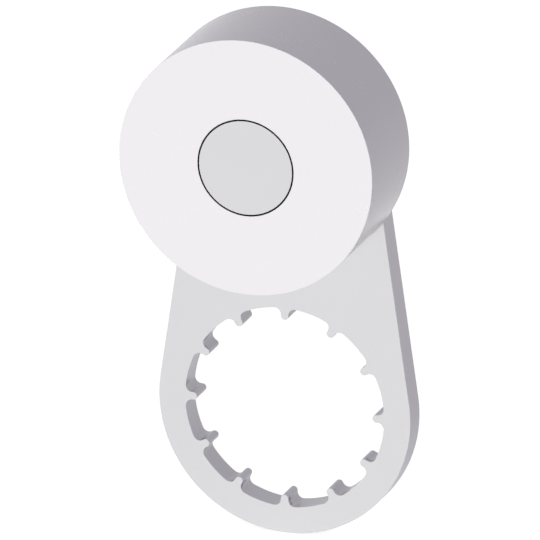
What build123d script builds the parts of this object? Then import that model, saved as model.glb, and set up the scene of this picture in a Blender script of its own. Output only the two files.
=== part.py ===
from build123d import *

import os
from math import asin, cos, degrees, radians, sin, sqrt

# Hand crank for a window operator, in millimetres. It stands upright with its ribbed socket at the bottom
# and its grip knob at the top, on the front of the arm, which faces -Y. The origin is on the socket's
# axis, in the plane of the arm's back face.
#
# Every piece is drawn lying on its back: X across, Y along the arm, and Z as the height in front of the
# arm's back face. Then it is stood up, so that its height runs along -Y.

# Arm
ARM_THICKNESS = 5.0
ARM_THROW = 52.6
ARM_TOP_RADIUS = 16.4

# Ribbed socket
SOCKET_RADIUS = 19.0
RIB_COUNT = 12
RIB_HEIGHT = 2.25
RIB_WIDTH = 1.45
RIB_ROOT_FILLET = 1.2

# Knob shell
KNOB_RADIUS = 24.0
KNOB_DEPTH = 19.7
KNOB_GAP = 0.75
KNOB_WALL = 2.4
KNOB_FACE = 2.4
HUB_WALL = 2.0
STIFFENER_COUNT = 6
STIFFENER_WIDTH = 1.6
STIFFENER_DEPTH = 6.0

# Back cover of the knob
COVER_THICKNESS = 2.0
COVER_LEDGE = 1.0
COVER_EDGE_CLEARANCE = 0.1
COVER_HOLE_CLEARANCE = 0.5

# Screws of the back cover
COVER_SCREW_COUNT = 3
COVER_SCREW_RADIUS = 1.25
COVER_SCREW_LENGTH = 9.0
COVER_SCREW_POINT = 1.2
COVER_SCREW_HEAD_RADIUS = 2.5
COVER_SCREW_HEAD_HEIGHT = 1.3
COVER_SCREW_RECESS_WIDTH = 0.6
COVER_SCREW_RECESS_LENGTH = 2.6
COVER_SCREW_RECESS_DEPTH = 0.7
COVER_SCREW_BOSS_WALL = 1.9
COVER_SCREW_SPARE_DEPTH = 1.0

# Spindle and its locating pins
JOURNAL_RADIUS = 5.0
JOURNAL_CHAMFER = 0.3
FOOT_THICKNESS = 2.0
FOOT_RIM = 0.7
PIN_COUNT = 2
PIN_RADIUS = 1.0
PIN_FLOOR = 1.0
PIN_TO_INSERT = 0.3

# Plain bearings and thrust washers
BUSH_WALL = 1.5
BUSH_FLANGE = 1.0
FLANGE_CLEARANCE = 0.1
BUSH_SPACE = 0.75
THRUST_THICKNESS = 0.6
THRUST_BORE_CLEARANCE = 0.15
RUNNING_CLEARANCE = 0.05
END_PLAY = 0.05

# Disc spring
SPRING_THICKNESS = 0.4
SPRING_RISE = 0.55
SPRING_BORE_CLEARANCE = 0.3

# Retaining washer, and the cap that snaps over it
RETAINER_THICKNESS = 1.6
CAP_BORE_RADIUS = 9.1
CAP_GAP = 0.27
CAP_THICKNESS = 1.4
CAP_SKIRT_SETBACK = 0.15
CAP_SKIRT_WALL = 0.7
CAP_BEAD = 0.25
CAP_BEAD_HEIGHT = 0.5
CAP_FIT = 0.05
CAP_HEADROOM = 0.1

# Clamp screw, its spring washer and its threaded insert
SCREW_RADIUS = 2.5
SCREW_END_RECESS = 1.2
SCREW_HEAD_RADIUS = 4.75
SCREW_HEAD_HEIGHT = 2.75
SCREW_HEAD_RIM = 0.5
SCREW_HEAD_FLAT_RADIUS = 2.4
SCREW_HEAD_DOME_RADIUS = 4.0
SCREW_KEY_FLATS = 3.0
SCREW_KEY_DEPTH = 1.5
SCREW_HOLE_CLEARANCE = 0.25
LOCK_WASHER_THICKNESS = 1.2
LOCK_WASHER_WALL = 1.9
LOCK_WASHER_SPLIT = 0.8
LOCK_WASHER_SPLIT_ANGLE = 20.0
INSERT_FLATS = 10.0
INSERT_FLANGE = 1.2
INSERT_WALL = 1.1

# Small clearances that keep threaded and pressed surfaces apart
THREAD_CLEARANCE = 0.02
SEAT_CLEARANCE = 0.02

# Heights in front of the arm's back face, from the back up
KNOB_BACK = ARM_THICKNESS + KNOB_GAP
COVER_TOP = KNOB_BACK + COVER_THICKNESS
FOOT_TOP = ARM_THICKNESS + FOOT_THICKNESS
REAR_THRUST_TOP = FOOT_TOP + THRUST_THICKNESS
REAR_BUSH_BACK = REAR_THRUST_TOP + END_PLAY
HUB_BACK = REAR_BUSH_BACK + BUSH_FLANGE

# Heights in front of the arm's back face, from the knob's face down
KNOB_FRONT = KNOB_BACK + KNOB_DEPTH
KNOB_CEILING = KNOB_FRONT - KNOB_FACE
CAP_BACK = KNOB_FRONT - CAP_THICKNESS
SCREW_TOP = CAP_BACK - CAP_HEADROOM
SCREW_SEAT = SCREW_TOP - SCREW_HEAD_HEIGHT
RETAINER_TOP = SCREW_SEAT - LOCK_WASHER_THICKNESS
SPINDLE_TOP = RETAINER_TOP - RETAINER_THICKNESS
SPRING_BACK = SPINDLE_TOP - SPRING_THICKNESS - SPRING_RISE
FRONT_THRUST_BACK = SPRING_BACK - THRUST_THICKNESS
FRONT_BUSH_TOP = FRONT_THRUST_BACK - END_PLAY
HUB_TOP = FRONT_BUSH_TOP - BUSH_FLANGE
BUSH_LENGTH = (HUB_TOP - HUB_BACK - BUSH_SPACE) / 2

# The arm's socket end is as wide as the knob.
ARM_LOW_RADIUS = KNOB_RADIUS

# Radii of the turning pieces, from the journal out
BUSH_BORE_RADIUS = JOURNAL_RADIUS + RUNNING_CLEARANCE
BUSH_RADIUS = BUSH_BORE_RADIUS + BUSH_WALL
HUB_BORE_RADIUS = BUSH_RADIUS + SEAT_CLEARANCE
HUB_RADIUS = HUB_BORE_RADIUS + HUB_WALL
CAP_WELL_RADIUS = CAP_BORE_RADIUS + HUB_WALL
KNOB_INNER_RADIUS = KNOB_RADIUS - KNOB_WALL
COVER_SEAT_RADIUS = KNOB_INNER_RADIUS + COVER_LEDGE
COVER_SCREW_CIRCLE = (CAP_WELL_RADIUS + KNOB_INNER_RADIUS) / 2
COVER_PILOT_RADIUS = COVER_SCREW_RADIUS + THREAD_CLEARANCE

# Radii of the pieces that stay with the arm, from the clamp screw out
SCREW_HOLE_RADIUS = SCREW_RADIUS + SCREW_HOLE_CLEARANCE
INSERT_THREAD_RADIUS = SCREW_RADIUS + THREAD_CLEARANCE
INSERT_BARREL_RADIUS = INSERT_THREAD_RADIUS + INSERT_WALL
PIN_CIRCLE = INSERT_FLATS / 2 + PIN_TO_INSERT + PIN_RADIUS
FOOT_RADIUS = PIN_CIRCLE + PIN_RADIUS + FOOT_RIM
COVER_HOLE_RADIUS = max(FOOT_RADIUS, HUB_RADIUS) + COVER_HOLE_CLEARANCE
CAP_RADIUS = CAP_BORE_RADIUS - CAP_GAP
CAP_SKIRT_RADIUS = CAP_RADIUS - CAP_SKIRT_SETBACK
CAP_SKIRT_BORE = CAP_SKIRT_RADIUS - CAP_SKIRT_WALL
CAP_BEAD_BORE = CAP_SKIRT_BORE - CAP_BEAD
RETAINER_RADIUS = CAP_SKIRT_BORE - CAP_FIT
FRONT_WASHER_RADIUS = CAP_BEAD_BORE - THRUST_BORE_CLEARANCE
FRONT_FLANGE_RADIUS = CAP_BORE_RADIUS - FLANGE_CLEARANCE


def polar(radius, angle):
    """The point at a radius and at an angle in degrees."""
    return (radius * cos(radians(angle)), radius * sin(radians(angle)))


def rod(radius, low, high):
    """A plain round between two heights."""
    return Pos(0, 0, low) * extrude(Circle(radius), high - low)


def tube(outer, inner, low, high):
    """A plain ring between two heights."""
    return Pos(0, 0, low) * extrude(Circle(outer) - Circle(inner), high - low)


def hexagon(flats, low, high):
    """A hexagonal bar between two heights, with two of its flats square to X."""
    outline = RegularPolygon(flats / 2, 6, major_radius=False, rotation=30)
    return Pos(0, 0, low) * extrude(outline, high - low)


def turned(points):
    """A turned piece from the (radius, height) corners of its half section."""
    outline = Polyline(*[(radius, 0, height) for radius, height in points], close=True)
    return revolve(make_face(outline), Axis.Z)


def stand_up(piece, along_arm):
    """Stands a piece up from where it is drawn, at its place along the arm."""
    return Plane.XZ.location * Pos(0, along_arm, 0) * piece


# The arm, and what stays with it


def arm_outline():
    """Two round ends, joined by the straight lines that touch both."""
    lean = degrees(asin((ARM_LOW_RADIUS - ARM_TOP_RADIUS) / ARM_THROW))
    low_x, low_y = polar(ARM_LOW_RADIUS, lean)
    top_x, top_y = polar(ARM_TOP_RADIUS, lean)
    top_y += ARM_THROW
    top_middle = (0, ARM_THROW + ARM_TOP_RADIUS)
    low_middle = (0, -ARM_LOW_RADIUS)
    outline = Curve() + [
        Line((low_x, low_y), (top_x, top_y)),
        ThreePointArc((top_x, top_y), top_middle, (-top_x, top_y)),
        Line((-top_x, top_y), (-low_x, low_y)),
        ThreePointArc((-low_x, low_y), low_middle, (low_x, low_y)),
    ]
    return make_face(outline)


def socket_outline():
    """The hole through the arm. Its ribs have round tips and flare out where they leave the wall."""
    half = RIB_WIDTH / 2
    tip_centre = SOCKET_RADIUS - RIB_HEIGHT + half
    flare = min(RIB_ROOT_FILLET, 0.9 * (RIB_HEIGHT - half))
    flare_x = half + flare
    flare_y = sqrt((SOCKET_RADIUS - flare) ** 2 - flare_x**2)
    flare_angle = degrees(asin(flare_x / (SOCKET_RADIUS - flare)))
    # The flare's arc turns from the rib's side to the wall, about its own centre.
    mid_x, mid_y = polar(flare, 180 - (90 + flare_angle) / 2)
    mid_x += flare_x
    mid_y += flare_y
    wall_x, wall_y = polar(SOCKET_RADIUS, 90 - flare_angle)
    step = 360 / RIB_COUNT
    gap_middle = polar(SOCKET_RADIUS, 90 + step / 2)
    next_wall = polar(SOCKET_RADIUS, 90 + step - flare_angle)
    one_rib = [
        ThreePointArc((wall_x, wall_y), (mid_x, mid_y), (half, flare_y)),
        Line((half, flare_y), (half, tip_centre)),
        ThreePointArc((half, tip_centre), (0, tip_centre - half), (-half, tip_centre)),
        Line((-half, tip_centre), (-half, flare_y)),
        ThreePointArc((-half, flare_y), (-mid_x, mid_y), (-wall_x, wall_y)),
        ThreePointArc((-wall_x, wall_y), gap_middle, next_wall),
    ]
    edges = [Rot(0, 0, step * rib) * edge for rib in range(RIB_COUNT) for edge in one_rib]
    return make_face(Curve() + edges)


def pins_at(radius, low, high):
    """Rounds where the locating pins go, on a line across the arm."""
    step = 360 / PIN_COUNT
    return [Pos(*polar(PIN_CIRCLE, step * i)) * rod(radius, low, high) for i in range(PIN_COUNT)]


def crank_arm():
    """The flat arm, with its socket and the seats of the insert and the pins."""
    seats = [
        hexagon(INSERT_FLATS + 2 * SEAT_CLEARANCE, 0, INSERT_FLANGE),
        rod(INSERT_BARREL_RADIUS + SEAT_CLEARANCE, 0, ARM_THICKNESS),
        *pins_at(PIN_RADIUS + SEAT_CLEARANCE, PIN_FLOOR, ARM_THICKNESS),
    ]
    plate = extrude(arm_outline() - socket_outline(), ARM_THICKNESS)
    return plate - [Pos(0, ARM_THROW, 0) * seat for seat in seats]


def arm_insert():
    """Threaded insert, let in from the back, with a hexagonal flange that can't turn."""
    body = hexagon(INSERT_FLATS, 0, INSERT_FLANGE)
    body += rod(INSERT_BARREL_RADIUS, INSERT_FLANGE, ARM_THICKNESS)
    return body - rod(INSERT_THREAD_RADIUS, 0, ARM_THICKNESS)


def locating_pins():
    """Dowels that keep the spindle from turning on the arm."""
    return Part() + pins_at(PIN_RADIUS, PIN_FLOOR, FOOT_TOP)


def spindle():
    """Hollow journal on a wide foot, which holds the knob clear of the arm."""
    sleeve = turned(
        [
            (SCREW_HOLE_RADIUS, ARM_THICKNESS),
            (FOOT_RADIUS, ARM_THICKNESS),
            (FOOT_RADIUS, FOOT_TOP),
            (JOURNAL_RADIUS, FOOT_TOP),
            (JOURNAL_RADIUS, SPINDLE_TOP - JOURNAL_CHAMFER),
            (JOURNAL_RADIUS - JOURNAL_CHAMFER, SPINDLE_TOP),
            (SCREW_HOLE_RADIUS, SPINDLE_TOP),
        ]
    )
    return sleeve - pins_at(PIN_RADIUS + SEAT_CLEARANCE, ARM_THICKNESS, FOOT_TOP)


def rear_thrust_washer():
    """Low-friction washer on the spindle's foot."""
    return tube(FOOT_RADIUS, JOURNAL_RADIUS + THRUST_BORE_CLEARANCE, FOOT_TOP, REAR_THRUST_TOP)


def front_thrust_washer():
    """Low-friction washer between the disc spring and the front bush."""
    bore = JOURNAL_RADIUS + THRUST_BORE_CLEARANCE
    return tube(FRONT_WASHER_RADIUS, bore, FRONT_THRUST_BACK, SPRING_BACK)


def disc_spring():
    """Conical spring washer that takes up the end play. Its inner edge is the high one."""
    bore = JOURNAL_RADIUS + SPRING_BORE_CLEARANCE
    return turned(
        [
            (bore, SPINDLE_TOP - SPRING_THICKNESS),
            (FRONT_WASHER_RADIUS, SPRING_BACK),
            (FRONT_WASHER_RADIUS, SPRING_BACK + SPRING_THICKNESS),
            (bore, SPINDLE_TOP),
        ]
    )


def retaining_washer():
    """Thick washer clamped on the spindle's end, which keeps the knob on."""
    return tube(RETAINER_RADIUS, SCREW_HOLE_RADIUS, SPINDLE_TOP, RETAINER_TOP)


def lock_washer():
    """Split spring washer under the clamp screw's head."""
    outer = SCREW_HOLE_RADIUS + LOCK_WASHER_WALL
    ring = tube(outer, SCREW_HOLE_RADIUS, RETAINER_TOP, SCREW_SEAT)
    split = Box(2 * outer, LOCK_WASHER_SPLIT, 2 * LOCK_WASHER_THICKNESS)
    middle = Pos(outer, 0, RETAINER_TOP + LOCK_WASHER_THICKNESS / 2)
    return ring - middle * Rot(LOCK_WASHER_SPLIT_ANGLE, 0, 0) * split


def clamp_screw():
    """Button-head screw that holds the spindle and the retaining washer to the arm."""
    rim_low = (SCREW_HEAD_RADIUS, SCREW_SEAT)
    rim_high = (SCREW_HEAD_RADIUS, SCREW_SEAT + SCREW_HEAD_RIM)
    flat_edge = (SCREW_HEAD_FLAT_RADIUS, SCREW_TOP)
    section = Curve() + [
        Polyline((0, SCREW_SEAT), rim_low, rim_high),
        RadiusArc(rim_high, flat_edge, -SCREW_HEAD_DOME_RADIUS),
        Polyline(flat_edge, (0, SCREW_TOP), (0, SCREW_SEAT)),
    ]
    head = revolve(Rot(90, 0, 0) * make_face(section), Axis.Z)
    head -= hexagon(SCREW_KEY_FLATS, SCREW_TOP - SCREW_KEY_DEPTH, SCREW_TOP)
    return head + rod(SCREW_RADIUS, SCREW_END_RECESS, SCREW_SEAT)


def spindle_cap():
    """Cap flush with the knob's face. A bead in its skirt snaps under the retaining washer."""
    bead_top = SPINDLE_TOP - CAP_FIT
    bead_back = bead_top - CAP_BEAD_HEIGHT
    return turned(
        [
            (0, CAP_BACK),
            (CAP_SKIRT_BORE, CAP_BACK),
            (CAP_SKIRT_BORE, bead_top),
            (CAP_BEAD_BORE, bead_top),
            (CAP_SKIRT_BORE, bead_back),
            (CAP_SKIRT_RADIUS, bead_back),
            (CAP_SKIRT_RADIUS, CAP_BACK),
            (CAP_RADIUS, CAP_BACK),
            (CAP_RADIUS, KNOB_FRONT),
            (0, KNOB_FRONT),
        ]
    )


# The knob, and what turns with it


def around_cover(piece):
    """Copies of a piece at the cover's screws, the first one straight up the arm."""
    step = 360 / COVER_SCREW_COUNT
    centres = [polar(COVER_SCREW_CIRCLE, 90 + step * i) for i in range(COVER_SCREW_COUNT)]
    return [Pos(*centre) * piece for centre in centres]


def knob_stiffeners():
    """Radial walls under the knob's face, from the hub to the skirt."""
    inner = CAP_WELL_RADIUS - HUB_WALL / 2
    outer = KNOB_INNER_RADIUS + KNOB_WALL / 2
    height = KNOB_CEILING - STIFFENER_DEPTH / 2
    wall = Pos((inner + outer) / 2, 0, height) * Box(outer - inner, STIFFENER_WIDTH, STIFFENER_DEPTH)
    step = 360 / STIFFENER_COUNT
    return [Rot(0, 0, step * i) * wall for i in range(STIFFENER_COUNT)]


def knob_shell():
    """The round grip: face, skirt and hub in one hollow moulding, open at the back."""
    well_floor = HUB_TOP - HUB_WALL
    shell = turned(
        [
            (HUB_BORE_RADIUS, HUB_BACK),
            (HUB_BORE_RADIUS, HUB_TOP),
            (CAP_BORE_RADIUS, HUB_TOP),
            (CAP_BORE_RADIUS, KNOB_FRONT),
            (KNOB_RADIUS, KNOB_FRONT),
            (KNOB_RADIUS, KNOB_BACK),
            (COVER_SEAT_RADIUS, KNOB_BACK),
            (COVER_SEAT_RADIUS, COVER_TOP),
            (KNOB_INNER_RADIUS, COVER_TOP),
            (KNOB_INNER_RADIUS, KNOB_CEILING),
            (CAP_WELL_RADIUS, KNOB_CEILING),
            (CAP_WELL_RADIUS, well_floor),
            (HUB_RADIUS, well_floor),
            (HUB_RADIUS, HUB_BACK),
        ]
    )
    boss = rod(COVER_SCREW_RADIUS + COVER_SCREW_BOSS_WALL, COVER_TOP, KNOB_CEILING)
    pilot_top = KNOB_BACK + COVER_SCREW_LENGTH + COVER_SCREW_SPARE_DEPTH
    pilot = rod(COVER_PILOT_RADIUS, COVER_TOP, pilot_top)
    return shell + knob_stiffeners() + around_cover(boss) - around_cover(pilot)


def bush(flange_radius):
    """Flanged plain bearing, drawn with its flange down at height zero."""
    return turned(
        [
            (BUSH_BORE_RADIUS, 0),
            (flange_radius, 0),
            (flange_radius, BUSH_FLANGE),
            (BUSH_RADIUS, BUSH_FLANGE),
            (BUSH_RADIUS, BUSH_FLANGE + BUSH_LENGTH),
            (BUSH_BORE_RADIUS, BUSH_FLANGE + BUSH_LENGTH),
        ]
    )


def rear_bush():
    """Plain bearing in the back of the hub."""
    return Pos(0, 0, REAR_BUSH_BACK) * bush(HUB_RADIUS)


def front_bush():
    """Plain bearing in the front of the hub, the other way up."""
    return Pos(0, 0, FRONT_BUSH_TOP) * Rot(180, 0, 0) * bush(FRONT_FLANGE_RADIUS)


def countersunk(shank, head, low, high):
    """A head's cone and the shank in front of it, with its widest end at the low height."""
    return turned(
        [
            (0, low),
            (head, low),
            (shank, low + COVER_SCREW_HEAD_HEIGHT),
            (shank, high),
            (0, high),
        ]
    )


def back_cover():
    """Disc let into the back of the knob, around the spindle's foot."""
    disc = tube(COVER_SEAT_RADIUS - COVER_EDGE_CLEARANCE, COVER_HOLE_RADIUS, KNOB_BACK, COVER_TOP)
    shank = COVER_SCREW_RADIUS + SEAT_CLEARANCE
    head = COVER_SCREW_HEAD_RADIUS + SEAT_CLEARANCE
    return disc - around_cover(countersunk(shank, head, KNOB_BACK, COVER_TOP))


def cover_screws():
    """Countersunk screws with a cross recess, flush with the cover."""
    screw_top = KNOB_BACK + COVER_SCREW_LENGTH
    neck = screw_top - COVER_SCREW_POINT
    screw = countersunk(COVER_SCREW_RADIUS, COVER_SCREW_HEAD_RADIUS, KNOB_BACK, neck)
    screw += Pos(0, 0, (neck + screw_top) / 2) * Cone(COVER_SCREW_RADIUS, 0, COVER_SCREW_POINT)
    slot = Pos(0, 0, KNOB_BACK) * Box(
        COVER_SCREW_RECESS_LENGTH, COVER_SCREW_RECESS_WIDTH, 2 * COVER_SCREW_RECESS_DEPTH
    )
    screw -= [slot, Rot(0, 0, 90) * slot]
    return Part() + around_cover(screw)


def main():
    os.makedirs("parts", exist_ok=True)
    export_step(stand_up(crank_arm(), 0), "parts/crank_arm.step")
    on_pivot = {
        "arm_insert": arm_insert(),
        "locating_pins": locating_pins(),
        "spindle": spindle(),
        "rear_thrust_washer": rear_thrust_washer(),
        "front_thrust_washer": front_thrust_washer(),
        "disc_spring": disc_spring(),
        "retaining_washer": retaining_washer(),
        "lock_washer": lock_washer(),
        "clamp_screw": clamp_screw(),
        "spindle_cap": spindle_cap(),
        "knob_shell": knob_shell(),
        "rear_bush": rear_bush(),
        "front_bush": front_bush(),
        "back_cover": back_cover(),
        "cover_screws": cover_screws(),
    }
    for name, piece in on_pivot.items():
        export_step(stand_up(piece, ARM_THROW), f"parts/{name}.step")


main()
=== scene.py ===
"""The looks of a window crank: a flat grey arm with a ribbed socket, and a round white grip knob that turns
on it. Everything is in metres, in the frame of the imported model: +Z up the arm, -Y towards the knob's face.

Pieces are drawn by height in front of the arm's back face, which lies in the plane y = 0, so a point
(across, along, height) stands at (across, -height, along).
"""

import math

import bmesh
import bpy
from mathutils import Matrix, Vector
from mathutils.geometry import tessellate_polygon


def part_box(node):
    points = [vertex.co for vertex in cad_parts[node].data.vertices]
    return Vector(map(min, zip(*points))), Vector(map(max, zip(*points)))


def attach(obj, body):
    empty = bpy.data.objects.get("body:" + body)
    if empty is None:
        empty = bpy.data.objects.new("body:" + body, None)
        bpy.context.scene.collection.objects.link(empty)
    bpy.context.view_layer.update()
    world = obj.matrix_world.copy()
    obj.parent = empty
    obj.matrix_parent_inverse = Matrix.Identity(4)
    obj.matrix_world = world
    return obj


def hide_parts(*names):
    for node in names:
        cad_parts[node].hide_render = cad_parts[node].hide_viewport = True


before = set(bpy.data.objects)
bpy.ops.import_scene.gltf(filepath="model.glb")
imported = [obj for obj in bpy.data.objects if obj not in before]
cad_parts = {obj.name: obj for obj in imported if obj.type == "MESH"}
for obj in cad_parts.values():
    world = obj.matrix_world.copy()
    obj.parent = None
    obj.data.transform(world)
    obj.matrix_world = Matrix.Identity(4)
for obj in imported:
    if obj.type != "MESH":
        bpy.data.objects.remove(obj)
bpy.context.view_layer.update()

MM = 0.001

# Sizes that the frame gives
ARM_LOW, ARM_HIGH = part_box("crank_arm")
KNOB_LOW, KNOB_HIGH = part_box("knob_shell")
CAP_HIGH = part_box("spindle_cap")[1]
COVER_LOW, COVER_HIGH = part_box("back_cover")
INSERT_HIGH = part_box("arm_insert")[1]

ARM_THICKNESS = -ARM_LOW.y
ARM_LOW_RADIUS = ARM_HIGH.x
KNOB_RADIUS = KNOB_HIGH.x
KNOB_BACK = -KNOB_HIGH.y
KNOB_FRONT = -KNOB_LOW.y
PIVOT = (KNOB_LOW.z + KNOB_HIGH.z) / 2
ARM_TOP_RADIUS = ARM_HIGH.z - PIVOT
CAP_RADIUS = CAP_HIGH.x
CAP_SKIRT_END = -CAP_HIGH.y
COVER_RADIUS = COVER_HIGH.x
COVER_TOP = -COVER_LOW.y
INSERT_FLATS = 2 * INSERT_HIGH.x

# Sizes of the ribbed socket
SOCKET_RADIUS = 19.0 * MM
RIB_COUNT = 12
RIB_HEIGHT = 2.25 * MM
RIB_WIDTH = 1.45 * MM
RIB_ROOT_FILLET = 1.2 * MM

# Sizes of the knob's inside and of its cap
CAP_BORE_RADIUS = 9.1 * MM
HUB_BORE_RADIUS = 6.57 * MM
HUB_WALL = 2.0 * MM
KNOB_WALL = 2.4 * MM
HUB_BACK = 8.65 * MM
HUB_TOP = 15.8 * MM
STIFFENER_COUNT = 6
STIFFENER_WIDTH = 1.6 * MM
STIFFENER_DEPTH = 6.0 * MM
COVER_SEAT_RADIUS = 22.6 * MM
COVER_HOLE_RADIUS = 9.07 * MM
COVER_SCREW_COUNT = 3
COVER_SCREW_CIRCLE = 16.35 * MM
COVER_SCREW_HOLE = 1.27 * MM
COVER_SCREW_HEAD = 2.52 * MM
COVER_SCREW_HEAD_HEIGHT = 1.3 * MM
BOSS_RADIUS = 3.15 * MM
PILOT_TOP = 15.75 * MM
GAP = CAP_BORE_RADIUS - CAP_RADIUS
CAP_THICKNESS = 1.4 * MM
CAP_SKIRT_SETBACK = 0.15 * MM
CAP_SKIRT_WALL = 0.7 * MM
CAP_BEAD = 0.25 * MM
CAP_BEAD_HEIGHT = 0.5 * MM

# Sizes of the insert and of the seats in the arm
SEAT_CLEARANCE = 0.02 * MM
INSERT_FLANGE = 1.2 * MM
INSERT_BARREL_RADIUS = 3.62 * MM
INSERT_THREAD_RADIUS = 2.52 * MM
PIN_RADIUS = 1.02 * MM
PIN_CIRCLE = 6.3 * MM
PIN_FLOOR = 1.0 * MM

# Rounding of edges, as a mould leaves them, and the wear of the two edges beside the cap's gap. A rounding
# has support points on the flat beside it, these many of its radii away.
EDGE = 0.06 * MM
FINE_EDGE = 0.04 * MM
GAP_WEAR = 0.02 * MM
EDGE_SUPPORTS = (2, 7)

# How many straight steps stand for a round shape
EDGE_STEPS = 4
CIRCLE_STEPS = 64
TURNED_STEPS = 256
KNOB_STEPS = 320
COVER_STEPS = 192
COVER_HOLE_STEPS = 128
PIN_STEPS = 32
ARM_TOP_STEPS = 120
ARM_LOW_STEPS = 180
RIB_FLARE_STEPS = 7
RIB_TIP_STEPS = 12
RIB_GAP_STEPS = 12

# An edge that turns by more degrees than SHARP_ANGLE shades sharp. Solids reach OVERLAP into what they join
# or cut. MITRE_LIMIT keeps the corners of a shifted outline from running out more than twice the shift.
SHARP_ANGLE = 40.0
OVERLAP = 1.0 * MM
MITRE_LIMIT = 0.5

# The view, from the right and above. The lens is so long that the view is nearly parallel.
VIEW_AZIMUTH = 20.0
VIEW_ELEVATION = 20.0
VIEW_WIDTH = 97.02 * MM
VIEW_CENTRE = Vector((-5.344, 2.043, 23.206)) * MM
LENS = 1700.0
SENSOR = 36.0

# Painted shade, darkening the colour to near black down in the gap round the cap and in the corners of
# the ribs. Each depth is measured from the front face beside it.
PAINTED_SHADE = (0.05, 0.05, 0.05)
GAP_SHADE_DEPTH = 10.0 * MM
ROOT_SHADE_DEPTH = 1.2 * MM

# Light. A surface that faces front or back gets 1 in all, and one that faces sideways gets AMBIENT. Each
# lamp looks LAMP_SPREAD degrees wide and stands LAMP_HEIGHT degrees above level.
AMBIENT = (0.338, 0.326, 0.359)
LAMP_SPREAD = 0.5
LAMP_HEIGHT = 0.2
WHITE = (1.0, 1.0, 1.0, 1.0)

# The floor. Where it is seen, FLOOR_SHADE of its white comes from the light, so that shadows show, and the
# rest glows, with FLOOR_MARGIN on top. FLOOR_BOUNCE is how much of the light it gives back to the crank.
FLOOR_SIZE = 6.0
FLOOR_SHADE = 0.3
FLOOR_MARGIN = 0.06
FLOOR_BOUNCE = 0.95


# Meshes


class Shell:
    """A closed surface, put together from loops of points at given heights."""

    def __init__(self, along=0.0):
        self.along = along
        self.points = []
        self.faces = []

    def loop(self, outline, height):
        """Adds an outline's (across, along) points at one height and returns their numbers."""
        start = len(self.points)
        self.points += [(x, -height, self.along + y) for x, y in outline]
        return list(range(start, len(self.points)))

    def band(self, first, second):
        """Joins two loops of as many points with a ring of quads."""
        after = first[1:] + first[:1]
        after_second = second[1:] + second[:1]
        self.faces += list(zip(first, after, after_second, second))

    def bands(self, loops):
        """Joins each loop to the next one."""
        for first, second in zip(loops, loops[1:]):
            self.band(first, second)

    def cap(self, *loops):
        """Closes the flat area between a loop and the loops inside it."""
        flat = [number for loop in loops for number in loop]
        corners = [[Vector((self.points[n][0], self.points[n][2], 0)) for n in loop] for loop in loops]
        self.faces += [tuple(flat[i] for i in triangle) for triangle in tessellate_polygon(corners)]

    def solid(self, name):
        """Makes the mesh object, with its faces turned out."""
        mesh = bpy.data.meshes.new(name)
        mesh.from_pydata(self.points, [], self.faces)
        work = bmesh.new()
        work.from_mesh(mesh)
        bmesh.ops.recalc_face_normals(work, faces=work.faces)
        work.to_mesh(mesh)
        work.free()
        piece = bpy.data.objects.new(name, mesh)
        bpy.context.scene.collection.objects.link(piece)
        return piece


def smoothed(piece):
    """Shades round faces smooth and flat ones flat."""
    piece.data.shade_smooth()
    piece.data.set_sharp_from_angle(angle=math.radians(SHARP_ANGLE))
    normals = piece.modifiers.new("flat_faces", "WEIGHTED_NORMAL")
    normals.mode = "FACE_AREA"
    normals.weight = 100
    normals.keep_sharp = True
    return piece


def combined(piece, other, operation):
    """Joins the other solid to the piece, or cuts it out. The other one is used up."""
    change = piece.modifiers.new("change", "BOOLEAN")
    change.operation = operation
    change.solver = "EXACT"
    change.object = other
    view = bpy.context.evaluated_depsgraph_get()
    mesh = bpy.data.meshes.new_from_object(piece.evaluated_get(view))
    piece.modifiers.clear()
    piece.data = mesh
    bpy.data.objects.remove(other)
    return piece


def polar(radius, angle):
    """The point at a radius and at an angle in degrees."""
    return (radius * math.cos(math.radians(angle)), radius * math.sin(math.radians(angle)))


def arc(centre, radius, start, end, steps):
    """Points on an arc between two angles, both ends included."""
    turns = [start + (end - start) * i / steps for i in range(steps + 1)]
    return [(centre[0] + polar(radius, a)[0], centre[1] + polar(radius, a)[1]) for a in turns]


def circle(radius, centre=(0.0, 0.0), steps=CIRCLE_STEPS):
    """A full circle of points, anticlockwise from the right."""
    return arc(centre, radius, 0, 360, steps)[:-1]


def hexagon(flats):
    """A hexagon with two of its flats square to the crank's width."""
    return [polar(flats / math.sqrt(3), 30 + 60 * i) for i in range(6)]


def shifted(outline, distance):
    """The outline moved outwards by a distance, or inwards where it is negative. It runs anticlockwise."""
    moved = []
    for before, here, after in zip(outline[-1:] + outline[:-1], outline, outline[1:] + outline[:1]):
        into = Vector((here[0] - before[0], here[1] - before[1])).normalized()
        away = Vector((after[0] - here[0], after[1] - here[1])).normalized()
        middle = (into + away).normalized()
        stretch = distance / max(middle.dot(into), MITRE_LIMIT)
        moved.append((here[0] + middle.y * stretch, here[1] - middle.x * stretch))
    return moved


def rounded_wall(shell, outline, low, high, edge, outwards):
    """Adds a wall with both of its edges rounded, and returns its lowest and its highest loop.

    The edges pull back from outside an outline that faces outwards, and from inside a hole. Each end has
    loops more, set back on the flat face beside it, so that only the edge itself counts as an edge.
    """
    side = -1 if outwards else 1
    set_back = [shifted(outline, side * (1 + reach) * edge) for reach in EDGE_SUPPORTS]
    loops = [shell.loop(support, low) for support in reversed(set_back)]
    for step in range(EDGE_STEPS + 1):
        turn = math.pi / 2 * step / EDGE_STEPS
        pull = side * edge * (1 - math.sin(turn))
        loops.append(shell.loop(shifted(outline, pull), low + edge * (1 - math.cos(turn))))
    for step in reversed(range(EDGE_STEPS + 1)):
        turn = math.pi / 2 * step / EDGE_STEPS
        pull = side * edge * (1 - math.sin(turn))
        loops.append(shell.loop(shifted(outline, pull), high - edge * (1 - math.cos(turn))))
    loops += [shell.loop(support, high) for support in set_back]
    shell.bands(loops)
    return loops[0], loops[-1]


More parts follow.
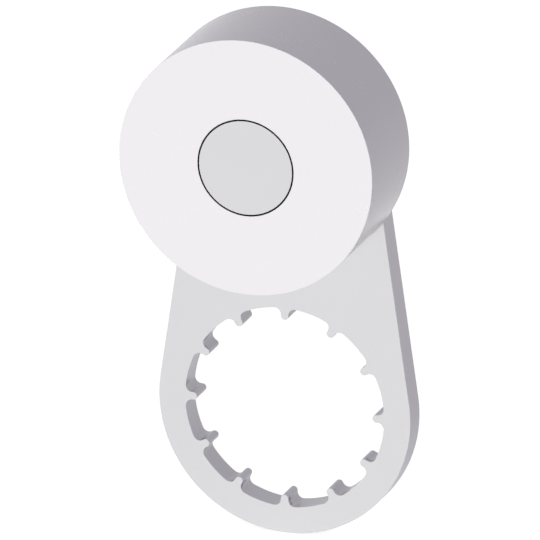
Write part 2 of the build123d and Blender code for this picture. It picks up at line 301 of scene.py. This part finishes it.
def supports(start, away, rounding, leg):
    """Points on the flat beside a rounding, as many as its straight leg has room for."""
    reaches = [reach for reach in EDGE_SUPPORTS if 2 * (reach + 1) * rounding < leg]
    return [tuple(start + away * reach * rounding) for reach in reaches]


def rounded_section(corners):
    """A closed half section, from (radius, height, rounding) corners, with its corners rounded.

    Each rounding has points more on either side, so that only the edge itself counts as an edge.
    """
    section = []
    count = len(corners)
    for i, (radius, height, rounding) in enumerate(corners):
        here = Vector((radius, height))
        if not rounding:
            section.append(tuple(here))
            continue
        to_last = Vector(corners[i - 1][:2]) - here
        to_next = Vector(corners[(i + 1) % count][:2]) - here
        back, ahead = to_last.normalized(), to_next.normalized()
        half = back.angle(ahead) / 2
        start = here + back * rounding / math.tan(half)
        end = here + ahead * rounding / math.tan(half)
        centre = here + (back + ahead).normalized() * rounding / math.sin(half)
        section += reversed(supports(start, back, rounding, to_last.length))
        for step in range(EDGE_STEPS + 1):
            chord = start.lerp(end, step / EDGE_STEPS) - centre
            section.append(tuple(centre + chord.normalized() * rounding))
        section += supports(end, ahead, rounding, to_next.length)
    return section


def turned(name, corners, along, steps=TURNED_STEPS):
    """A turned piece round an axis along the crank's depth. A section that starts at the axis is solid."""
    shell = Shell(along)
    section = rounded_section(corners)
    solid = section[0][0] == 0
    inner = section[1:-1] if solid else section
    loops = [shell.loop(circle(radius, steps=steps), height) for radius, height in inner]
    shell.bands(loops)
    if solid:
        for (radius, height), loop in ((section[0], loops[0]), (section[-1], loops[-1])):
            middle = shell.loop([(0.0, 0.0)], height)[0]
            shell.faces += [(a, b, middle) for a, b in zip(loop, loop[1:] + loop[:1])]
    else:
        shell.band(loops[-1], loops[0])
    return shell.solid(name)


def prism(shell, outline, low, high):
    """Adds a closed upright solid on an outline."""
    ends = [shell.loop(outline, height) for height in (low, high)]
    shell.bands(ends)
    for end in ends:
        shell.cap(end)


def cover_screw_centres():
    """Where the cover's screws stand, the first one straight up the arm."""
    return [polar(COVER_SCREW_CIRCLE, 90 + 360 / COVER_SCREW_COUNT * i) for i in range(COVER_SCREW_COUNT)]


# The pieces that show


def arm_outline():
    """Two round ends, joined by the straight lines that touch both, anticlockwise from the right."""
    lean = math.degrees(math.asin((ARM_LOW_RADIUS - ARM_TOP_RADIUS) / PIVOT))
    top = arc((0, PIVOT), ARM_TOP_RADIUS, lean, 180 - lean, ARM_TOP_STEPS)
    low = arc((0, 0), ARM_LOW_RADIUS, 180 - lean, 360 + lean, ARM_LOW_STEPS)
    return top + low


def socket_outline():
    """The hole through the arm, anticlockwise. Its ribs have round tips and flare out at the wall."""
    half = RIB_WIDTH / 2
    tip_centre = SOCKET_RADIUS - RIB_HEIGHT + half
    flare = RIB_ROOT_FILLET
    flare_x = half + flare
    flare_y = math.sqrt((SOCKET_RADIUS - flare) ** 2 - flare_x**2)
    flare_angle = math.degrees(math.asin(flare_x / (SOCKET_RADIUS - flare)))
    step = 360 / RIB_COUNT
    one_rib = arc((flare_x, flare_y), flare, 90 - flare_angle, 180, RIB_FLARE_STEPS)
    one_rib += arc((0, tip_centre), half, 360, 180, RIB_TIP_STEPS)
    one_rib += arc((-flare_x, flare_y), flare, 0, 90 + flare_angle, RIB_FLARE_STEPS)
    wall = arc((0, 0), SOCKET_RADIUS, 90 + flare_angle, 90 + step - flare_angle, RIB_GAP_STEPS)
    one_rib += wall[1:-1]
    outline = []
    for rib in range(RIB_COUNT):
        turn = math.radians(step * rib)
        cos, sin = math.cos(turn), math.sin(turn)
        outline += [(x * cos - y * sin, x * sin + y * cos) for x, y in one_rib]
    return outline


def at_pivot(outline):
    """The outline moved up the arm, to the knob's axis."""
    return [(x, y + PIVOT) for x, y in outline]


def make_arm():
    """The flat arm, with its socket and the seats of the insert and of the pins."""
    shell = Shell()
    outer = rounded_wall(shell, arm_outline(), 0, ARM_THICKNESS, EDGE, outwards=True)
    socket = rounded_wall(shell, socket_outline(), 0, ARM_THICKNESS, FINE_EDGE, outwards=False)
    flange = at_pivot(hexagon(INSERT_FLATS + 2 * SEAT_CLEARANCE))
    barrel = at_pivot(circle(INSERT_BARREL_RADIUS + SEAT_CLEARANCE))
    flange_low = shell.loop(flange, 0)
    flange_top = shell.loop(flange, INSERT_FLANGE)
    barrel_low = shell.loop(barrel, INSERT_FLANGE)
    barrel_top = shell.loop(barrel, ARM_THICKNESS)
    shell.band(flange_low, flange_top)
    shell.cap(flange_top, barrel_low)
    shell.band(barrel_low, barrel_top)
    pin_tops = []
    for side in (-1, 1):
        pin = circle(PIN_RADIUS, (side * PIN_CIRCLE, PIVOT), PIN_STEPS)
        pin_floor = shell.loop(pin, PIN_FLOOR)
        pin_tops.append(shell.loop(pin, ARM_THICKNESS))
        shell.band(pin_floor, pin_tops[-1])
        shell.cap(pin_floor)
    shell.cap(outer[0], socket[0], flange_low)
    shell.cap(outer[1], socket[1], barrel_top, *pin_tops)
    return smoothed(shell.solid("arm_moulding"))


def stiffener(angle, inner, outer):
    """The outline of a radial wall, anticlockwise."""
    half = STIFFENER_WIDTH / 2
    turn = math.radians(angle)
    cos, sin = math.cos(turn), math.sin(turn)
    corners = [(inner, -half), (outer, -half), (outer, half), (inner, half)]
    return [(x * cos - y * sin, x * sin + y * cos) for x, y in corners]


def make_knob():
    """The round grip: face, skirt and hub in one hollow moulding, open at the back.

    Stiffeners run from the hub to the skirt under the face, and bosses take the cover's screws.
    """
    inner = KNOB_RADIUS - KNOB_WALL
    ceiling = KNOB_FRONT - KNOB_WALL
    well = CAP_BORE_RADIUS + HUB_WALL
    well_floor = HUB_TOP - HUB_WALL
    hub = HUB_BORE_RADIUS + HUB_WALL
    corners = [
        (HUB_BORE_RADIUS, HUB_BACK, FINE_EDGE),
        (HUB_BORE_RADIUS, HUB_TOP, FINE_EDGE),
        (CAP_BORE_RADIUS, HUB_TOP, 0),
        (CAP_BORE_RADIUS + GAP_WEAR, KNOB_FRONT, FINE_EDGE),
        (KNOB_RADIUS, KNOB_FRONT, EDGE),
        (KNOB_RADIUS, KNOB_BACK, EDGE),
        (COVER_SEAT_RADIUS, KNOB_BACK, FINE_EDGE),
        (COVER_SEAT_RADIUS, COVER_TOP, 0),
        (inner, COVER_TOP, FINE_EDGE),
        (inner, ceiling, EDGE),
        (well, ceiling, EDGE),
        (well, well_floor, EDGE),
        (hub, well_floor, EDGE),
        (hub, HUB_BACK, FINE_EDGE),
    ]
    knob = turned("knob_moulding", corners, PIVOT, KNOB_STEPS)
    inside = Shell(PIVOT)
    for i in range(STIFFENER_COUNT):
        outline = stiffener(360 / STIFFENER_COUNT * i, well - HUB_WALL / 2, inner + KNOB_WALL / 2)
        prism(inside, outline, ceiling - STIFFENER_DEPTH, ceiling + OVERLAP)
    pilots = Shell(PIVOT)
    for centre in cover_screw_centres():
        prism(inside, circle(BOSS_RADIUS, centre), COVER_TOP, ceiling + OVERLAP)
        prism(pilots, circle(COVER_SCREW_HOLE, centre), COVER_TOP - OVERLAP, PILOT_TOP)
    combined(knob, inside.solid("inside_walls"), "UNION")
    combined(knob, pilots.solid("pilot_holes"), "DIFFERENCE")
    return smoothed(knob)


def make_cap():
    """Cap flush with the knob's face. The bead in its skirt snaps under the retaining washer."""
    skirt = CAP_RADIUS - CAP_SKIRT_SETBACK
    bore = skirt - CAP_SKIRT_WALL
    back = KNOB_FRONT - CAP_THICKNESS
    bead_top = CAP_SKIRT_END + CAP_BEAD_HEIGHT
    corners = [
        (0, back, 0),
        (bore, back, FINE_EDGE),
        (bore, bead_top, 0),
        (bore - CAP_BEAD, bead_top, 0),
        (bore, CAP_SKIRT_END, 0),
        (skirt, CAP_SKIRT_END, FINE_EDGE),
        (skirt, back, 0),
        (CAP_RADIUS, back, FINE_EDGE),
        (CAP_RADIUS - GAP_WEAR, KNOB_FRONT, FINE_EDGE),
        (0, KNOB_FRONT, 0),
    ]
    return smoothed(turned("centre_cap", corners, PIVOT))


def make_cover():
    """Disc let into the back of the knob, with countersunk screw holes."""
    shell = Shell(PIVOT)
    outer = circle(COVER_RADIUS, steps=COVER_STEPS)
    rim = rounded_wall(shell, outer, KNOB_BACK, COVER_TOP, EDGE, outwards=True)
    bore = circle(COVER_HOLE_RADIUS, steps=COVER_HOLE_STEPS)
    hole = rounded_wall(shell, bore, KNOB_BACK, COVER_TOP, EDGE, outwards=False)
    low, top = [rim[0], hole[0]], [rim[1], hole[1]]
    for centre in cover_screw_centres():
        mouth = shell.loop(circle(COVER_SCREW_HEAD, centre), KNOB_BACK)
        throat = shell.loop(circle(COVER_SCREW_HOLE, centre), KNOB_BACK + COVER_SCREW_HEAD_HEIGHT)
        end = shell.loop(circle(COVER_SCREW_HOLE, centre), COVER_TOP)
        shell.bands([mouth, throat, end])
        low.append(mouth)
        top.append(end)
    shell.cap(*low)
    shell.cap(*top)
    return smoothed(shell.solid("cover_moulding"))


def make_insert():
    """Threaded insert, with a hexagonal flange flush with the arm's back."""
    shell = Shell(PIVOT)
    flange = [shell.loop(shifted(hexagon(INSERT_FLATS), -FINE_EDGE), 0)]
    flange.append(shell.loop(hexagon(INSERT_FLATS), FINE_EDGE))
    flange.append(shell.loop(hexagon(INSERT_FLATS), INSERT_FLANGE))
    barrel = [shell.loop(circle(INSERT_BARREL_RADIUS), h) for h in (INSERT_FLANGE, ARM_THICKNESS)]
    lead_in = 2 * EDGE
    thread = [shell.loop(circle(INSERT_THREAD_RADIUS + lead_in), 0)]
    thread += [shell.loop(circle(INSERT_THREAD_RADIUS), h) for h in (lead_in, ARM_THICKNESS)]
    shell.bands(flange)
    shell.cap(flange[-1], barrel[0])
    shell.bands(barrel)
    shell.cap(barrel[1], thread[-1])
    shell.bands(thread)
    shell.cap(flange[0], thread[0])
    return smoothed(shell.solid("threaded_insert"))


# Materials

# Sizes of noise, as features per metre
FLOW_CLOUDS = 90.0
SPARK_GRAIN = 2600.0
SPECKS = 1100.0
ROOT_SHADE_PATCHES = 600.0
LATHE_LINES = 3500.0
DULL_SPOTS = 700.0
WAX_CLOUDS = 300.0
TURNING_MARKS = 3000.0

# Bands of a noise's values, over which a ramp runs
MIDDLE = (0.35, 0.65)
WIDE = (0.3, 0.7)

# Ends of a ramp
RISING = (0.0, 1.0)
FALLING = (1.0, 0.0)


class Graph:
    """The node tree of a material or a world, built by naming each node's kind and inputs."""

    def __init__(self, owner):
        self.owner = owner
        owner.use_nodes = True
        self.tree = owner.node_tree
        self.tree.nodes.clear()

    def add(self, kind, inputs=None, **settings):
        """Adds a node. An input is a plain value, or an output of another node."""
        node = self.tree.nodes.new("ShaderNode" + kind)
        for key, value in settings.items():
            setattr(node, key, value)
        for key, value in (inputs or {}).items():
            if isinstance(value, bpy.types.NodeSocket):
                self.tree.links.new(value, node.inputs[key])
            else:
                node.inputs[key].default_value = value
        return node

    def place(self):
        """The point's coordinates in the crank's own frame."""
        return self.add("TexCoord").outputs["Object"]

    def noise(self, place, scale, detail=2.0, roughness=0.5):
        """Even noise, with its scale as features per metre."""
        inputs = {"Vector": place, "Scale": scale, "Detail": detail, "Roughness": roughness}
        return self.add("TexNoise", inputs).outputs["Fac"]

    def ramp(self, value, band, ends=RISING):
        """Maps a band of values to the stretch between two ends, and holds the ends outside it."""
        inputs = {"Value": value, 1: band[0], 2: band[1], 3: ends[0], 4: ends[1]}
        return self.add("MapRange", inputs, clamp=True).outputs["Result"]

    def calculated(self, operation, *values):
        """A sum, product or the like of one or two values."""
        return self.add("Math", dict(enumerate(values)), operation=operation).outputs[0]

    def product(self, *values):
        """All the values, multiplied."""
        total = values[0]
        for value in values[1:]:
            total = self.calculated("MULTIPLY", total, value)
        return total

    def mix(self, share, first, second):
        """Blends two colours."""
        node = self.add("Mix", {"Factor": share}, data_type="RGBA")
        colours = [s for s in node.inputs if s.type == "RGBA"]
        for socket, value in zip(colours, (first, second)):
            if isinstance(value, bpy.types.NodeSocket):
                self.tree.links.new(value, socket)
            else:
                socket.default_value = (*value, 1.0)
        return next(s for s in node.outputs if s.type == "RGBA")

    def bump(self, height, strength, depth):
        """A normal bent by a height, as deep as the given depth at full strength."""
        inputs = {"Height": height, "Strength": strength, "Distance": depth}
        return self.add("Bump", inputs).outputs["Normal"]

    def output(self, shader, kind="Material"):
        """Ends the tree with a node's shader, and returns its material or world."""
        self.add("Output" + kind, {"Surface": shader.outputs[0]})
        return self.owner


def scaled(colour, gain):
    """The colour made lighter or darker."""
    return tuple(min(c * gain, 1.0) for c in colour)


def around(middle, reach):
    """The ends of a stretch on both sides of a value."""
    return (middle - reach, middle + reach)


def from_axis(g, place, along):
    """How far a point is from an axis along the crank's depth, and its own coordinate along that depth."""
    moved = g.add("Mapping", {"Vector": place, "Location": (0.0, 0.0, -along)}).outputs["Vector"]
    parts = g.add("SeparateXYZ", {"Vector": moved})
    flat = g.add("CombineXYZ", {"X": parts.outputs["X"], "Y": parts.outputs["Z"]}).outputs["Vector"]
    return g.add("VectorMath", {0: flat}, operation="LENGTH").outputs["Value"], parts.outputs["Y"]


def cap_gap_shade(g, place):
    """Painted shade, 1 on the walls and floor of the gap round the cap from a little below the face, and 0
    elsewhere.
    """
    radius, depth = from_axis(g, place, PIVOT)
    inside = g.ramp(radius, (CAP_RADIUS - 2 * GAP, CAP_RADIUS - GAP))
    outside = g.ramp(radius, (CAP_BORE_RADIUS + GAP, CAP_BORE_RADIUS + 2 * GAP), FALLING)
    near = g.ramp(depth, (0.2 * GAP - KNOB_FRONT, 0.5 * GAP - KNOB_FRONT))
    far = g.ramp(depth, (GAP_SHADE_DEPTH - KNOB_FRONT, 1.2 * GAP_SHADE_DEPTH - KNOB_FRONT), FALLING)
    return g.product(inside, outside, near, far)


def rib_root_shade(g, place):
    """Painted shade, up to 1 in the corners where the ribs leave the socket's wall, just behind the arm's
    front face.
    """
    radius, depth = from_axis(g, place, 0.0)
    rib_side = SOCKET_RADIUS - 1.5 * RIB_ROOT_FILLET
    wall_side = SOCKET_RADIUS - 0.35 * RIB_ROOT_FILLET
    fade = 0.2 * RIB_ROOT_FILLET
    inside = g.ramp(radius, (rib_side, rib_side + fade))
    outside = g.ramp(radius, (wall_side, wall_side + fade), FALLING)
    near = g.ramp(depth, (FINE_EDGE - ARM_THICKNESS, 3 * FINE_EDGE - ARM_THICKNESS))
    far = g.ramp(depth, (0.5 * ROOT_SHADE_DEPTH - ARM_THICKNESS, ROOT_SHADE_DEPTH - ARM_THICKNESS), FALLING)
    # The painted shade lies in random patches
    patches = g.ramp(g.noise(place, ROOT_SHADE_PATCHES), (0.45, 0.55))
    return g.product(patches, inside, outside, near, far)


def rounded_edges(g):
    """1 on rounded edges, where the surface faces neither along the crank's depth nor square to it."""
    normal = g.add("SeparateXYZ", {"Vector": g.add("TexCoord").outputs["Normal"]})
    depth = g.calculated("ABSOLUTE", normal.outputs["Y"])
    return g.product(g.ramp(depth, (0.1, 0.3)), g.ramp(depth, (0.8, 0.95), FALLING))


def moulded_plastic(name, colour, shine, roughness, index, shaded_places):
    """Satin plastic: a fine spark-eroded grain, faint flow clouds and edges rubbed a little smoother.

    Painted shade darkens the given places to near black.
    """
    cloud_contrast = 0.004
    speck_contrast = 0.015
    speck_share = 0.3
    edge_contrast = 0.02
    edge_share = 0.35
    edge_polish = 0.04
    roughness_swing = 0.02
    g = Graph(bpy.data.materials.new(name))
    place = g.place()
    clouds = g.noise(place, FLOW_CLOUDS, detail=3.0)
    grain = g.noise(place, SPARK_GRAIN, detail=3.0, roughness=0.6)
    specks = g.noise(place, SPECKS, detail=1.0)
    edges = rounded_edges(g)
    darker, lighter = (scaled(colour, gain) for gain in around(1.0, cloud_contrast))
    tint = g.mix(g.ramp(clouds, MIDDLE), darker, lighter)
    speckled = g.ramp(specks, (0.62, 0.75), (0.0, speck_share))
    tint = g.mix(speckled, tint, scaled(colour, 1.0 - speck_contrast))
    tint = g.mix(g.product(edges, edge_share), tint, scaled(colour, 1.0 + edge_contrast))
    # Painted shade: the colour darkened to near black in each given place
    for shaded_place in shaded_places:
        tint = g.mix(shaded_place(g, place), tint, PAINTED_SHADE)
    rough = g.ramp(clouds, WIDE, around(roughness, roughness_swing))
    rough = g.calculated("ADD", rough, g.ramp(grain, WIDE, around(0.0, roughness_swing)))
    rough = g.calculated("SUBTRACT", rough, g.product(edges, edge_polish))
    inputs = {
        "Base Color": tint,
        "Roughness": rough,
        "IOR": index,
        "Specular Tint": (*shine, 1.0),
        "Normal": g.bump(grain, strength=0.25, depth=0.003 * MM),
    }
    return g.output(g.add("BsdfPrincipled", inputs))


def turned_metal(name, colour, roughness):
    """Metal with the fine rings that a lathe leaves round the crank's pivot, and a few dull spots."""
    spot_contrast = 0.07
    line_contrast = 0.1
    line_share = 0.6
    spot_roughness = 0.12
    line_roughness = 0.04
    g = Graph(bpy.data.materials.new(name))
    place = g.place()
    radius, depth = from_axis(g, place, PIVOT)
    lathe_place = g.add("CombineXYZ", {"X": radius, "Y": depth}).outputs["Vector"]
    lines = g.noise(lathe_place, LATHE_LINES, detail=3.0)
    spots = g.noise(place, DULL_SPOTS, detail=3.0)
    tint = g.mix(g.ramp(spots, (0.35, 0.7)), colour, scaled(colour, 1.0 - spot_contrast))
    tint = g.mix(g.ramp(lines, MIDDLE, (0.0, line_share)), tint, scaled(colour, 1.0 - line_contrast))
    rough = g.ramp(spots, MIDDLE, (roughness, roughness + spot_roughness))
    rough = g.calculated("ADD", rough, g.ramp(lines, WIDE, around(0.0, line_roughness)))
    inputs = {
        "Base Color": tint,
        "Metallic": 1.0,
        "Roughness": rough,
        "Normal": g.bump(lines, strength=0.4, depth=0.003 * MM),
    }
    return g.output(g.add("BsdfPrincipled", inputs))


def bearing_plastic(name, colour, roughness):
    """Waxy bearing plastic, slightly see-through, with fine turning marks and painted shade under the cap's
    gap.
    """
    darkest = 0.95
    lightest = 1.02
    roughness_swing = 0.05
    stretch = (0.2, 6.0, 0.2)
    g = Graph(bpy.data.materials.new(name))
    place = g.place()
    clouds = g.noise(place, WAX_CLOUDS, detail=3.0)
    stretched = g.add("Mapping", {"Vector": place, "Scale": stretch}).outputs["Vector"]
    marks = g.noise(stretched, TURNING_MARKS)
    tint = g.mix(g.ramp(clouds, MIDDLE), scaled(colour, darkest), scaled(colour, lightest))
    # Painted shade in the gap round the cap
    tint = g.mix(cap_gap_shade(g, place), tint, PAINTED_SHADE)
    inputs = {
        "Base Color": tint,
        "Roughness": g.ramp(clouds, WIDE, around(roughness, roughness_swing)),
        "Subsurface Weight": 0.15,
        "Subsurface Scale": 0.5 * MM,
        "Normal": g.bump(marks, strength=0.3, depth=0.004 * MM),
    }
    return g.output(g.add("BsdfPrincipled", inputs))


# The room


def seen_directly(g):
    """1 for what the camera sees, itself or in a reflection or through glass, and 0 for lighting."""
    rays = g.add("LightPath")
    seen = rays.outputs["Is Camera Ray"]
    for kind in ("Is Glossy Ray", "Is Transmission Ray"):
        seen = g.calculated("MAXIMUM", seen, rays.outputs[kind])
    return seen


def make_world():
    """White where it is seen, and a soft even light of AMBIENT on everything."""
    g = Graph(bpy.data.worlds.new("studio"))
    light = g.add("Background", {"Color": (*AMBIENT, 1.0)})
    white = g.add("Background", {"Color": WHITE})
    mix = g.add("MixShader", {0: seen_directly(g), 1: light.outputs[0], 2: white.outputs[0]})
    bpy.context.scene.world = g.output(mix, "World")


def make_floor():
    """Pale floor under the crank. It looks white in the open and keeps the crank's shadow.

    From below it is clear.
    """
    half = FLOOR_SIZE / 2
    height = ARM_LOW.z
    corners = [(-half, -half, height), (half, -half, height), (half, half, height), (-half, half, height)]
    mesh = bpy.data.meshes.new("floor")
    mesh.from_pydata(corners, [], [(0, 1, 2, 3)])
    floor = bpy.data.objects.new("floor", mesh)
    bpy.context.scene.collection.objects.link(floor)
    g = Graph(bpy.data.materials.new("floor"))
    bounce = g.add("BsdfDiffuse", {"Color": (FLOOR_BOUNCE, FLOOR_BOUNCE, FLOOR_BOUNCE, 1.0)})
    # How much of the two lamps' light, which comes in almost level, lands on the floor
    lamps = 2 * math.sin(math.radians(LAMP_HEIGHT))
    shaded = [FLOOR_SHADE / (light + lamps * (1 - light)) for light in AMBIENT]
    shade = g.add("BsdfDiffuse", {"Color": (*shaded, 1.0)})
    glow = g.add("Emission", {"Color": WHITE, "Strength": 1 + FLOOR_MARGIN - FLOOR_SHADE})
    white = g.add("AddShader", {0: shade.outputs[0], 1: glow.outputs[0]})
    above = g.add("MixShader", {0: seen_directly(g), 1: bounce.outputs[0], 2: white.outputs[0]})
    behind = g.add("NewGeometry").outputs["Backfacing"]
    clear = g.add("BsdfTransparent")
    both = g.add("MixShader", {0: behind, 1: above.outputs[0], 2: clear.outputs[0]})
    mesh.materials.append(g.output(both))


def make_lamp(name, turn):
    """A distant lamp that shines along the crank's depth, from just above level."""
    lamp = bpy.data.lights.new(name, "SUN")
    lamp.energy = math.pi
    lamp.color = [1 - light for light in AMBIENT]
    lamp.angle = math.radians(LAMP_SPREAD)
    holder = bpy.data.objects.new(name, lamp)
    holder.rotation_euler = (math.radians(90 - LAMP_HEIGHT), 0, math.radians(turn))
    holder.visible_glossy = False
    bpy.context.scene.collection.objects.link(holder)


def make_camera():
    """The camera, as far away as its long lens needs to take in VIEW_WIDTH."""
    across, up = math.radians(VIEW_AZIMUTH), math.radians(VIEW_ELEVATION)
    back = Vector((math.sin(across) * math.cos(up), -math.cos(across) * math.cos(up), math.sin(up)))
    distance = VIEW_WIDTH * LENS / SENSOR
    camera = bpy.data.cameras.new("camera")
    camera.lens = LENS
    camera.sensor_width = SENSOR
    camera.clip_end = 3 * distance
    holder = bpy.data.objects.new("camera", camera)
    holder.location = VIEW_CENTRE + back * distance
    holder.rotation_mode = "QUATERNION"
    holder.rotation_quaternion = (-back).to_track_quat("-Z", "Y")
    bpy.context.scene.collection.objects.link(holder)
    bpy.context.scene.camera = holder


def dress(piece, material, body, node):
    """Gives a new piece its material and lets it stand for a CAD node on that node's body."""
    piece.data.materials.clear()
    piece.data.materials.append(material)
    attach(piece, body)
    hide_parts(node)


# The scene


make_camera()
make_world()
make_floor()
make_lamp("front_lamp", 0)
make_lamp("back_lamp", 180)

# Both mouldings get painted shade in the gap round the cap, and the grey one also in the ribs' corners
grey = moulded_plastic(
    "grey_moulding_looks",
    colour=(0.681, 0.680, 0.691),
    shine=(0.93, 0.89, 1.0),
    roughness=0.34,
    index=2.13,
    shaded_places=(cap_gap_shade, rib_root_shade),
)
white = moulded_plastic(
    "white_moulding_looks",
    colour=(0.870, 0.851, 0.880),
    shine=(1.0, 1.0, 1.0),
    roughness=0.25,
    index=1.49,
    shaded_places=(cap_gap_shade,),
)
bearing = bearing_plastic("bearing_plastic_looks", colour=(0.78, 0.76, 0.70), roughness=0.35)
steel = turned_metal("steel_looks", colour=(0.60, 0.60, 0.61), roughness=0.25)
zinc = turned_metal("zinc_plate_looks", colour=(0.72, 0.73, 0.76), roughness=0.3)
brass = turned_metal("brass_looks", colour=(0.68, 0.49, 0.21), roughness=0.3)

dress(make_arm(), grey, "arm", "crank_arm")
dress(make_cap(), grey, "arm", "spindle_cap")
dress(make_insert(), brass, "arm", "arm_insert")
dress(make_knob(), white, "knob", "knob_shell")
dress(make_cover(), white, "knob", "back_cover")

# The nodes that keep their CAD meshes
kept_nodes = {
    bearing: ("front_bush", "rear_bush", "front_thrust_washer", "rear_thrust_washer"),
    steel: ("spindle", "retaining_washer", "locating_pins", "disc_spring"),
    zinc: ("lock_washer", "clamp_screw", "cover_screws"),
}
for material, names in kept_nodes.items():
    for name in names:
        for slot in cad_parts[name].material_slots:
            slot.material = material

bpy.context.scene.view_settings.view_transform = "Standard"
